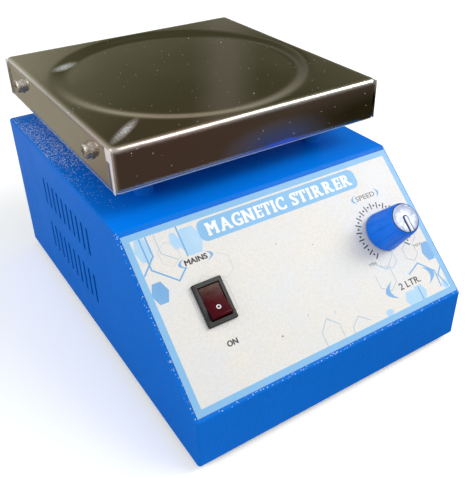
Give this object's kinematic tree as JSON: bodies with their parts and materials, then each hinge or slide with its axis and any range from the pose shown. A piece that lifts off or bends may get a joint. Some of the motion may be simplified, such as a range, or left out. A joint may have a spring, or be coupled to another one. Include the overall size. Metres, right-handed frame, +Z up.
{
  "type": "magnetic stirrer",
  "caption": "Magnetic stirrer: folded steel case with a sloping panel, speed knob and rocker switch, under a raised square stirring plate with a round recess.",
  "frame": {"origin": "centre of the whole object's footprint, on the surface it stands on", "axes": "+Z up, +Y from the sloping front towards the back, +X to the right as seen from the front"},
  "size_m": [0.16, 0.2278, 0.1284],
  "materials": {
    "blue_paint": "powder coat, fine orange peel",
    "zinc_sheet": "zinc plated, satin",
    "stainless": "polished stainless sheet",
    "printed_film": "printed polyester film",
    "black_rubber": "matt",
    "plated_screws": "nickel plated",
    "aluminium": "machined",
    "motor_steel": "plated deep-drawn steel",
    "black_plastic": "moulded",
    "bronze": "sintered bronze",
    "brass": "bright",
    "iron_laminations": "varnished stack",
    "copper": "turned copper",
    "ferrite": "ground ferrite",
    "nickel_magnet": "nickel plated magnet",
    "carbon": "carbon brush",
    "knob_blue": "moulded, slight gloss",
    "knob_silver": "spun disc",
    "pointer_white": "moulded",
    "switch_grey": "fine texture",
    "rocker_red": "translucent dark red",
    "board_green": "solder mask",
    "standoff_nylon": "nylon",
    "fuse_glass": "clear",
    "block_green": "moulded",
    "capacitor_blue": "sleeved",
    "lead_sheath": "PVC"
  },
  "bodies": {
    "stirrer": {"housing": "blue_paint", "base_plate": "zinc_sheet", "support_pan": "zinc_sheet", "motor_plate": "zinc_sheet", "top_plate": "stainless", "front_label": "printed_film", "foot_front_left": "black_rubber", "foot_front_right": "black_rubber", "foot_back_left": "black_rubber", "foot_back_right": "black_rubber", "case_screws": "plated_screws", "inlet_screws": "plated_screws", "board_screws": "plated_screws", "plate_screws": "plated_screws", "post_screws": "plated_screws", "motor_screws": "plated_screws", "small_nuts": "plated_screws", "plate_washers": "plated_screws", "bush_washer": "plated_screws", "bush_nut": "plated_screws", "spacer_posts": "aluminium", "heat_sink": "aluminium", "motor_can": "motor_steel", "motor_end_cap": "black_plastic", "control_case": "black_plastic", "inlet_body": "black_plastic", "triac": "black_plastic", "bridge_rectifier": "black_plastic", "motor_bearings": "bronze", "control_bush": "brass", "inlet_pins": "brass", "switch_terminals": "brass", "motor_terminals": "brass", "control_lugs": "brass", "fuse_clips": "brass", "field_magnets": "ferrite", "choke": "ferrite", "motor_brushes": "carbon", "switch_frame": "switch_grey", "circuit_board": "board_green", "board_standoffs": "standoff_nylon", "fuse": "fuse_glass", "terminal_block": "block_green", "filter_capacitor": "capacitor_blue", "mains_leads": "lead_sheath", "switch_leads": "lead_sheath", "speed_leads": "lead_sheath", "motor_leads": "lead_sheath"},
    "speed_knob": {"control_shaft": "motor_steel", "knob": "knob_blue", "knob_insert": "brass", "knob_cap": "knob_silver", "knob_pointer": "pointer_white"},
    "rocker": {"rocker": "rocker_red"},
    "drive": {"motor_shaft": "motor_steel", "armature": "iron_laminations", "commutator": "copper", "magnet_bar": "aluminium", "bar_magnets": "nickel_magnet", "grub_screw": "plated_screws"}
  },
  "joints": [
    {"name": "knob_turn", "type": "hinge", "parent": "stirrer", "child": "speed_knob", "pos_m": [0.0524, -0.08046, 0.06167], "axis": [0, -0.6637, 0.748], "range_deg": [-315, 0]},
    {"name": "rocker_tilt", "type": "hinge", "parent": "stirrer", "child": "rocker", "pos_m": [-0.0501, -0.08088, 0.06183], "axis": [1, 0, 0], "range_deg": [0, 20]},
    {"name": "motor_spin", "type": "hinge", "parent": "stirrer", "child": "drive", "pos_m": [0, 0.0323, 0.06], "axis": [0, 0, 1], "continuous": true}
  ]
}
